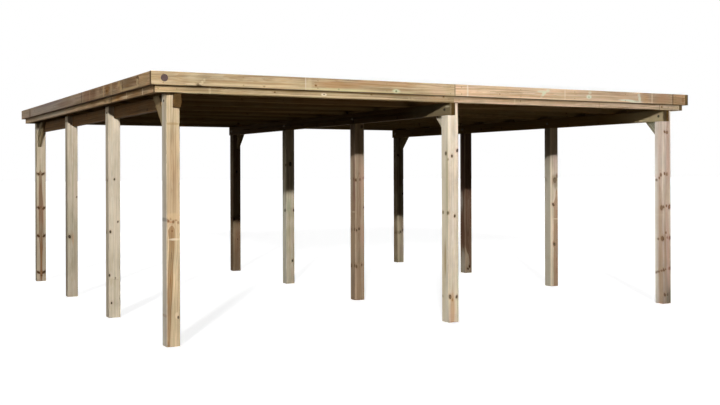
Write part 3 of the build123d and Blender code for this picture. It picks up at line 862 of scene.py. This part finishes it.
def set_out(name, points, facings, tree, material):
    """Run a tree on points that each face one way, and keep the result as a plain mesh."""
    seed_mesh = bpy.data.meshes.new(name + "_points")
    seed_mesh.from_pydata(points, [], [])
    ways = seed_mesh.attributes.new("facing", "FLOAT_VECTOR", "POINT")
    ways.data.foreach_set("vector", [v for way in facings for v in way])
    carrier = bpy.data.objects.new(name + "_points", seed_mesh)
    bpy.context.scene.collection.objects.link(carrier)
    maker = carrier.modifiers.new("make", "NODES")
    maker.node_group = tree
    inputs = {item.name: item.identifier for item in tree.interface.items_tree
              if item.in_out == "INPUT"}
    maker[inputs["Material"]] = material
    bpy.context.view_layer.update()
    settled = carrier.evaluated_get(bpy.context.evaluated_depsgraph_get())
    mesh = bpy.data.meshes.new_from_object(settled)
    mesh.name = name
    bpy.data.objects.remove(carrier)
    piece = bpy.data.objects.new(name, mesh)
    bpy.context.scene.collection.objects.link(piece)
    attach(piece, "root")


def steel(name, base, fleck, rough, patch_size):
    """Plated or coated steel, whose sheen changes a little from patch to patch."""
    metal, tree = start_material(name)
    coords = add(tree, "ShaderNodeTexCoord")
    place = add(tree, "ShaderNodeVectorMath",
                {0: coords.outputs["Object"], "Scale": 1000 / patch_size}, operation="SCALE")
    blotch = add(tree, "ShaderNodeTexNoise",
                 {"Vector": place, "Scale": 1.0, "Detail": 4.0, "Roughness": 0.6})
    tone = add(tree, "ShaderNodeMix", {"Factor": blotch, "A": linear(base), "B": linear(fleck)},
               data_type="RGBA")
    sheen = add(tree, "ShaderNodeMapRange", {"Value": blotch, "From Min": 0.3, "From Max": 0.7,
                                             "To Min": rough - 0.1, "To Max": rough + 0.15})
    relief = add(tree, "ShaderNodeBump", {"Height": blotch, "Strength": 0.3, "Distance": 0.0002})
    surface = add(tree, "ShaderNodeBsdfPrincipled", {
        "Base Color": tone, "Roughness": sheen, "Metallic": 1.0, "Normal": relief})
    add(tree, "ShaderNodeOutputMaterial", {"Surface": surface})
    return metal


# Dull zinc has small bright and grey patches, about 3 mm across
zinc = steel("zinc_plated_steel", "#6e6656", "#3f3a30", 0.55, 3.0)

bolt_head, given, result = make_group(
    "bolt head", "GeometryNodeTree",
    {"Points": ("Geometry", None), "Head width": ("Float", 0.025),
     "Head height": ("Float", 0.0055), "Material": ("Material", None)},
    {"Geometry": "Geometry"})
half_head = add(bolt_head, "ShaderNodeMath", {0: given["Head width"], 1: 0.5}, operation="MULTIPLY")
dome = add(bolt_head, "GeometryNodeMeshUVSphere", {"Segments": 28, "Rings": 14, "Radius": 1.0})
dome_size = add(bolt_head, "ShaderNodeCombineXYZ",
                {"X": half_head, "Y": half_head, "Z": given["Head height"]})
squashed = add(bolt_head, "GeometryNodeTransform", {"Geometry": dome, "Scale": dome_size})
smooth = add(bolt_head, "GeometryNodeSetShadeSmooth", {"Geometry": squashed})
stand_on_points(bolt_head, given, smooth, result)

nut_end, given, result = make_group(
    "washer and nut", "GeometryNodeTree",
    {"Points": ("Geometry", None), "Washer width": ("Float", 0.030),
     "Washer thickness": ("Float", 0.0025), "Nut width": ("Float", 0.0196),
     "Nut height": ("Float", 0.008), "Thread width": ("Float", 0.010),
     "Thread length": ("Float", 0.014), "Material": ("Material", None)},
    {"Geometry": "Geometry"})
stack = add(nut_end, "GeometryNodeJoinGeometry")
# Sides, sizes, and how much of the width is left above the bevel
for sides, width, height, top_share in (
        (32, "Washer width", "Washer thickness", 0.95), (6, "Nut width", "Nut height", 0.9),
        (16, "Thread width", "Thread length", 0.8)):
    half = add(nut_end, "ShaderNodeMath", {0: given[width], 1: 0.5}, operation="MULTIPLY")
    tall = add(nut_end, "ShaderNodeMath", {0: given[height], 1: 0.9}, operation="MULTIPLY")
    body = add(nut_end, "GeometryNodeMeshCone",
               {"Vertices": sides, "Radius Top": half, "Radius Bottom": half, "Depth": tall})
    narrow = add(nut_end, "ShaderNodeMath", {0: half, 1: top_share}, operation="MULTIPLY")
    bevel = add(nut_end, "ShaderNodeMath", {0: given[height], 1: 0.1}, operation="MULTIPLY")
    top = add(nut_end, "GeometryNodeMeshCone",
              {"Vertices": sides, "Radius Top": narrow, "Radius Bottom": half, "Depth": bevel})
    lift = add(nut_end, "ShaderNodeCombineXYZ", {"Z": tall})
    raised = add(nut_end, "GeometryNodeTransform",
                 {"Geometry": top.outputs["Mesh"], "Translation": lift})
    nut_end.links.new(body.outputs["Mesh"], stack.inputs[0])
    nut_end.links.new(raised.outputs[0], stack.inputs[0])
stand_on_points(nut_end, given, stack, result)

bolt_height = 2.075
post_face = post_half / 1000
heads, head_ways, nuts, nut_ways = [], [], [], []
for row, x in row_place.items():
    side = 1 if row == "left" else -1
    for index in range(4):
        y = first_row + index * between
        heads.append((x - side * post_face, y, bolt_height))
        head_ways.append((-side, 0, 0))
        nuts.append((x + side * post_face, y, bolt_height))
        nut_ways.append((side, 0, 0))
set_out("bolt_heads", heads, head_ways, bolt_head, zinc)
set_out("bolt_nuts", nuts, nut_ways, nut_end, zinc)


# Timber screws
# 6 mm countersunk screws with a six-lobed drive hold the knee boards and the fascia boards.
# Yellow-zinc heads about 11 mm wide, drawn in flush with the wood.
brass_zinc = steel("yellow_zinc_steel", "#b49c66", "#7d6840", 0.45, 2.0)

screw_head, given, result = make_group(
    "screw head", "GeometryNodeTree",
    {"Points": ("Geometry", None), "Head width": ("Float", 0.011), "Drive share": ("Float", 0.45),
     "Drive depth": ("Float", 0.002), "Stand": ("Float", 0.0002), "Material": ("Material", None)},
    {"Geometry": "Geometry"})
half_head = add(screw_head, "ShaderNodeMath", {0: given["Head width"], 1: 0.5}, operation="MULTIPLY")
disc = add(screw_head, "GeometryNodeMeshCircle", {"Vertices": 24, "Radius": half_head},
           fill_type="NGON")
rim = add(screw_head, "GeometryNodeExtrudeMesh",
          {"Mesh": disc, "Offset Scale": 0.0, "Individual": True}, mode="FACES")
drive = add(screw_head, "GeometryNodeScaleElements",
            {"Geometry": rim.outputs["Mesh"], "Selection": rim.outputs["Top"],
             "Scale": given["Drive share"]})
# Six lobes: the drive's outline swells and shrinks six times round the axis
spot = add(screw_head, "GeometryNodeInputPosition")
spot_parts = add(screw_head, "ShaderNodeSeparateXYZ", {0: spot})
turn_angle = add(screw_head, "ShaderNodeMath",
                 {0: spot_parts.outputs["Y"], 1: spot_parts.outputs["X"]}, operation="ARCTAN2")
six_angle = add(screw_head, "ShaderNodeMath", {0: turn_angle, 1: 6.0}, operation="MULTIPLY")
wave = add(screw_head, "ShaderNodeMath", {0: six_angle}, operation="COSINE")
lobe = add(screw_head, "ShaderNodeMath", {0: wave, 1: 0.14, 2: 0.95}, operation="MULTIPLY_ADD")
star = add(screw_head, "ShaderNodeVectorMath", {0: spot, "Scale": lobe}, operation="SCALE")
lobed = add(screw_head, "GeometryNodeSetPosition",
            {"Geometry": drive, "Selection": rim.outputs["Top"], "Position": star})
down = add(screw_head, "ShaderNodeMath", {0: given["Drive depth"], 1: -1.0}, operation="MULTIPLY")
sunk = add(screw_head, "GeometryNodeExtrudeMesh",
           {"Mesh": lobed, "Selection": rim.outputs["Top"], "Offset Scale": down,
            "Individual": True}, mode="FACES")
stand_up = add(screw_head, "ShaderNodeCombineXYZ", {"Z": given["Stand"]})
stood = add(screw_head, "GeometryNodeTransform",
            {"Geometry": sunk.outputs["Mesh"], "Translation": stand_up})
stand_on_points(screw_head, given, stood, result)

knee_low, knee_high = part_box("brace_left_front")
knee_thick = knee_high.x - knee_low.x
post_back = -first_row - post_face
rafter_step = middle_of("rafter_2").y - middle_of("rafter_1").y
# The rings' outer faces, and the heights of the screws in them
lower_x, lower_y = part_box("fascia_lower_right")[1].x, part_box("fascia_lower_rear")[1].y
upper_x, upper_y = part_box("fascia_upper_right")[1].x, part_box("fascia_upper_rear")[1].y
lower_level = 2.168
upper_levels = (2.218, 2.286)
screws, ways = [], []
for row, x in row_place.items():
    side = 1 if row == "left" else -1
    for end in (-1, 1):
        # Two screws in the purlin's side, and two beside the post
        for away, height in ((0.235, 2.040), (0.300, 2.105),
                             (0.030, knee_low.z + 0.075), (0.030, knee_low.z + 0.130)):
            screws.append((x - side * knee_thick, end * (post_back - away), height))
            ways.append((-side, 0, 0))
for index in range(9):
    y = first_row + index * rafter_step
    for side in (-1, 1):
        # The lower board is screwed into each rafter's end, and the upper one into the lower
        screws.append((side * lower_x, y, lower_level))
        ways.append((side, 0, 0))
        for height in upper_levels:
            screws.append((side * upper_x, y + 0.04, height))
            ways.append((side, 0, 0))
# Along the front and rear, upper boards have a pair about every 0.7 m and beside each joint
for x in (-2.93, -2.22, -1.51, -0.80, -0.10, 0.03, 0.74, 1.43, 2.12, 2.75, 2.85, 2.95):
    for end in (-1, 1):
        for height in upper_levels:
            screws.append((x, end * upper_y, height))
            ways.append((0, end, 0))
# Lower boards have two near each end, and two in the middle beside the front's joint
for x in (-2.96, -2.80, -0.09, 0.03, 2.78, 2.92):
    for end in (-1, 1):
        screws.append((x, end * lower_y, lower_level))
        ways.append((0, end, 0))
set_out("timber_screws", screws, ways, screw_head, brass_zinc)


# Round plate
# A plain round plate, 62 mm across and let into the front board near its left end. It is
# moulded, dark purple-brown and slightly crowned, and carries nothing.
plate_mesh = bpy.data.meshes.new("round_plate")
shape = bmesh.new()
plate_place = Vector((-2.919, -upper_y, 2.255))
plate_sides = 64
# Radius and height above the board, from the rim to the middle, in millimetres
profile = [(31.0, -3.0), (31.0, 0.15), (30.5, 0.4), (29.2, 0.45), (27.8, 0.35), (26.6, 0.1),
           (25.4, 0.1), (18.0, 0.25), (9.0, 0.35), (0.0, 0.4)]
steps = [k * math.tau / plate_sides for k in range(plate_sides)]
rings = []
for radius, height in profile[:-1]:
    rings.append([shape.verts.new((radius / 1000 * math.cos(angle), -height / 1000,
                                   radius / 1000 * math.sin(angle))) for angle in steps])
centre = shape.verts.new((0, -profile[-1][1] / 1000, 0))
for outer, inner in zip(rings, rings[1:]):
    for k in range(plate_sides):
        shape.faces.new((outer[k], outer[k - 1], inner[k - 1], inner[k]))
for k in range(plate_sides):
    shape.faces.new((rings[-1][k], rings[-1][k - 1], centre))
shape.faces.new(rings[0])
bmesh.ops.recalc_face_normals(shape, faces=shape.faces)
for face in shape.faces:
    face.smooth = len(face.verts) < plate_sides
bmesh.ops.translate(shape, verts=shape.verts, vec=plate_place)
shape.to_mesh(plate_mesh)
shape.free()
plate = bpy.data.objects.new("round_plate", plate_mesh)
bpy.context.scene.collection.objects.link(plate)
moulded, tree = start_material("moulded_dark_plastic")
coords = add(tree, "ShaderNodeTexCoord")
centred = add(tree, "ShaderNodeMapping",
              {"Vector": coords.outputs["Object"], "Location": -plate_place})
# Fine eroded grain of the mould, about 0.6 mm, and a bloom of dust in patches of 15 mm
grain_place = add(tree, "ShaderNodeVectorMath", {0: centred, "Scale": 1000 / 0.6},
                  operation="SCALE")
mould_grain = add(tree, "ShaderNodeTexNoise", {"Vector": grain_place, "Scale": 1.0, "Detail": 2.0})
bloom_place = add(tree, "ShaderNodeVectorMath", {0: centred, "Scale": 1000 / 15}, operation="SCALE")
bloom = add(tree, "ShaderNodeTexNoise", {"Vector": bloom_place, "Scale": 1.0, "Detail": 4.0})
bloomed = add(tree, "ShaderNodeMix", {"Factor": bloom, "A": linear("#41322f"), "B": linear("#6b5350")},
              data_type="RGBA")
dull = add(tree, "ShaderNodeMapRange", {"Value": bloom, "To Min": 0.35, "To Max": 0.6})
relief = add(tree, "ShaderNodeBump", {"Height": mould_grain, "Strength": 0.4, "Distance": 0.0001})
surface = add(tree, "ShaderNodeBsdfPrincipled", {
    "Base Color": bloomed, "Roughness": dull, "Normal": relief, "IOR": 1.5,
    "Specular IOR Level": 0.25})
add(tree, "ShaderNodeOutputMaterial", {"Surface": surface})
plate_mesh.materials.append(moulded)
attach(plate, "root")


# Roof sheets
# Six lengths of 0.5 mm steel with trapezoid ribs, 35 mm high. Each laps its neighbour's first
# rib. Polyester paint in anthracite grey, dusty, with rain streaks along the ribs.
coated, tree = start_material("polyester_coated_steel")
coords = add(tree, "ShaderNodeTexCoord")
# Rain leaves streaks some 12 mm wide and half a metre long; dust gathers in patches of 200 mm
streak_place = add(tree, "ShaderNodeVectorMath", {0: coords.outputs["Object"], 1: (80, 2, 80)},
                   operation="MULTIPLY")
rain = add(tree, "ShaderNodeTexNoise",
           {"Vector": streak_place, "Scale": 1.0, "Detail": 4.0, "Roughness": 0.6})
dust_place = add(tree, "ShaderNodeVectorMath", {0: coords.outputs["Object"], "Scale": 5.0},
                 operation="SCALE")
dust = add(tree, "ShaderNodeTexNoise",
           {"Vector": dust_place, "Scale": 1.0, "Detail": 6.0, "Roughness": 0.65})
# Paint skin of about 1.5 mm waves
skin_place = add(tree, "ShaderNodeVectorMath", {0: coords.outputs["Object"], "Scale": 660.0},
                 operation="SCALE")
skin = add(tree, "ShaderNodeTexNoise", {"Vector": skin_place, "Scale": 1.0, "Detail": 2.0})
soil = add(tree, "ShaderNodeMath", {0: rain, 1: dust}, operation="MULTIPLY")
soil_share = add(tree, "ShaderNodeMapRange",
                 {"Value": soil, "From Min": 0.16, "From Max": 0.42, "To Max": 0.6},
                 interpolation_type="SMOOTHSTEP")
painted = add(tree, "ShaderNodeMix",
              {"Factor": soil_share, "A": linear("#474a4c"), "B": linear("#6f6c64")},
              data_type="RGBA")
dulled = add(tree, "ShaderNodeMapRange",
             {"Value": soil_share, "From Max": 0.6, "To Min": 0.5, "To Max": 0.8})
relief = add(tree, "ShaderNodeBump", {"Height": skin, "Strength": 0.25, "Distance": 0.0002})
surface = add(tree, "ShaderNodeBsdfPrincipled", {
    "Base Color": painted, "Roughness": dulled, "Normal": relief, "IOR": 1.5,
    "Specular IOR Level": 0.2})
add(tree, "ShaderNodeOutputMaterial", {"Surface": surface})
for number in range(1, 7):
    nodes[f"roof_sheet_{number}"].material_slots[0].material = coated

# Each pan is fixed to every second rafter by a hexagon-headed screw with a sealing washer
sheet_screw, given, result = make_group(
    "sheet screw", "GeometryNodeTree",
    {"Points": ("Geometry", None), "Washer width": ("Float", 0.016),
     "Head width": ("Float", 0.0092), "Head height": ("Float", 0.0055),
     "Material": ("Material", None)},
    {"Geometry": "Geometry"})
half_washer = add(sheet_screw, "ShaderNodeMath", {0: given["Washer width"], 1: 0.5},
                  operation="MULTIPLY")
half_head = add(sheet_screw, "ShaderNodeMath", {0: given["Head width"], 1: 0.5}, operation="MULTIPLY")
crown = add(sheet_screw, "ShaderNodeMath", {0: half_washer, 1: 0.7}, operation="MULTIPLY")
washer = add(sheet_screw, "GeometryNodeMeshCone",
             {"Vertices": 16, "Radius Top": crown, "Radius Bottom": half_washer, "Depth": 0.0025})
hexagon = add(sheet_screw, "GeometryNodeMeshCone",
              {"Vertices": 6, "Radius Top": half_head, "Radius Bottom": half_head,
               "Depth": given["Head height"]})
lift = add(sheet_screw, "GeometryNodeTransform",
           {"Geometry": hexagon.outputs["Mesh"], "Translation": (0, 0, 0.0022)})
stack = add(sheet_screw, "GeometryNodeJoinGeometry")
sheet_screw.links.new(washer.outputs["Mesh"], stack.inputs[0])
sheet_screw.links.new(lift.outputs[0], stack.inputs[0])
stand_on_points(sheet_screw, given, stack, result)

# The sheets end 6 mm inside the lower ring's outer face
sheets_half = lower_x - 0.006
ribs = 30
pan_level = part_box("roof_sheet_1")[0].z + 0.0005
pitch = 2 * sheets_half / ribs
# The middle of a pan lies 40 mm beyond the middle of its pitch
pans = [(rib + 0.5) * pitch - sheets_half + 0.04 for rib in range(ribs)]
spots = [(x, first_row + index * rafter_step, pan_level) for x in pans for index in range(0, 9, 2)]
set_out("sheet_screws", spots, [(0, 0, 1)] * len(spots), sheet_screw, zinc)


# Floor, light and background
# A pale studio floor that runs into a white backdrop, a key light low from the front left,
# as in the photograph, and a weak light from behind that the photograph doesn't see.


def seen_directly(tree):
    """A value that is 1 for the eye, mirrors and glass, and 0 for light on its way."""
    ray = add(tree, "ShaderNodeLightPath")
    mirrored = add(tree, "ShaderNodeMath",
                   {0: ray.outputs["Is Camera Ray"], 1: ray.outputs["Is Glossy Ray"]},
                   operation="MAXIMUM")
    return add(tree, "ShaderNodeMath", {0: mirrored, 1: ray.outputs["Is Transmission Ray"]},
               operation="MAXIMUM")


def hang_lamp(name, kind, energy, receivers, place=(0, 0, 0), heading=(0, 0, -1), colour=(1, 1, 1)):
    """Hang a lamp for what its collection allows, or else for all, and return its settings."""
    lamp = bpy.data.lights.new(name, kind)
    lamp.energy = energy
    lamp.color = colour
    hung = bpy.data.objects.new(name, lamp)
    hung.location = place
    hung.rotation_mode = "QUATERNION"
    hung.rotation_quaternion = Vector(heading).to_track_quat("-Z", "Y")
    bpy.context.scene.collection.objects.link(hung)
    hung.light_linking.receiver_collection = receivers
    return lamp


reach = 150
mesh = bpy.data.meshes.new("floor")
corners = [(-reach, -reach, 0), (reach, -reach, 0), (reach, reach, 0), (-reach, reach, 0)]
mesh.from_pydata(corners, [], [(0, 1, 2, 3)])
floor = bpy.data.objects.new("floor", mesh)
bpy.context.scene.collection.objects.link(floor)
paper, tree = start_material("backdrop_paper")
seen = seen_directly(tree)
# The eye sees white paper, while the timber gets no more from it than from dark ground
shade = add(tree, "ShaderNodeMix", {"Factor": seen, "A": linear("#423b2d"), "B": linear("#d0d0d0")},
            data_type="RGBA")
matt = add(tree, "ShaderNodeBsdfDiffuse", {"Color": shade})
white = add(tree, "ShaderNodeMath", {0: seen, 1: 0.86}, operation="MULTIPLY")
glow = add(tree, "ShaderNodeEmission", {"Strength": white})
both = add(tree, "ShaderNodeAddShader", {0: matt, 1: glow})
add(tree, "ShaderNodeOutputMaterial", {"Surface": both})
mesh.materials.append(paper)
floor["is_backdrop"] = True

timber_only = bpy.data.collections.new("not the floor")
timber_only.objects.link(floor)
timber_only.collection_objects[0].light_linking.link_state = "EXCLUDE"
floor_only = bpy.data.collections.new("only the floor")
floor_only.objects.link(floor)

# The key stands near, so that the right row is lit more from the side than the left one.
# Its strength doesn't fall off with distance, and the floor has a sun of its own.
key = hang_lamp("key", "POINT", 40, timber_only, place=(-6.7, -13.0, 4.51))
key.shadow_soft_size = 0.1
key.use_nodes = True
key.node_tree.nodes.clear()
even = add(key.node_tree, "ShaderNodeLightFalloff", {"Strength": 1.0})
glow = add(key.node_tree, "ShaderNodeEmission", {"Strength": even.outputs["Constant"]})
add(key.node_tree, "ShaderNodeOutputLight", {"Surface": glow})
ground_light = hang_lamp("floor light", "SUN", 3.5, floor_only, heading=(0.6, 1, -0.24))
ground_light.angle = math.radians(3)

# Two weak fills reach under the roof: warm light off the ground in front, which dies away
# towards the back, and nearly neutral light from the open left side.
front_fill = hang_lamp("front fill", "POINT", 110, timber_only, place=(0.0, -6.5, 0.4),
                       colour=(1.0, 0.84, 0.62))
front_fill.shadow_soft_size = 0.6
left_fill = hang_lamp("left fill", "SUN", 1.0, timber_only, heading=(1, 0.12, -0.02),
                      colour=(1.02, 0.97, 0.92))
left_fill.angle = math.radians(25)
behind = hang_lamp("behind", "SUN", 1.3, None, heading=(-0.6, -1, -0.5))
behind.angle = math.radians(40)

world = bpy.data.worlds.new("backdrop")
bpy.context.scene.world = world
world.use_nodes = True
world.node_tree.nodes.clear()
seen = seen_directly(world.node_tree)
brightness = add(world.node_tree, "ShaderNodeMapRange",
                 {"Value": seen, "To Min": 0.02, "To Max": 1.0})
sky = add(world.node_tree, "ShaderNodeBackground", {"Color": (1, 1, 1, 1), "Strength": brightness})
add(world.node_tree, "ShaderNodeOutputWorld", {"Surface": sky})

bpy.context.scene.view_settings.view_transform = "Standard"

low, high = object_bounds()
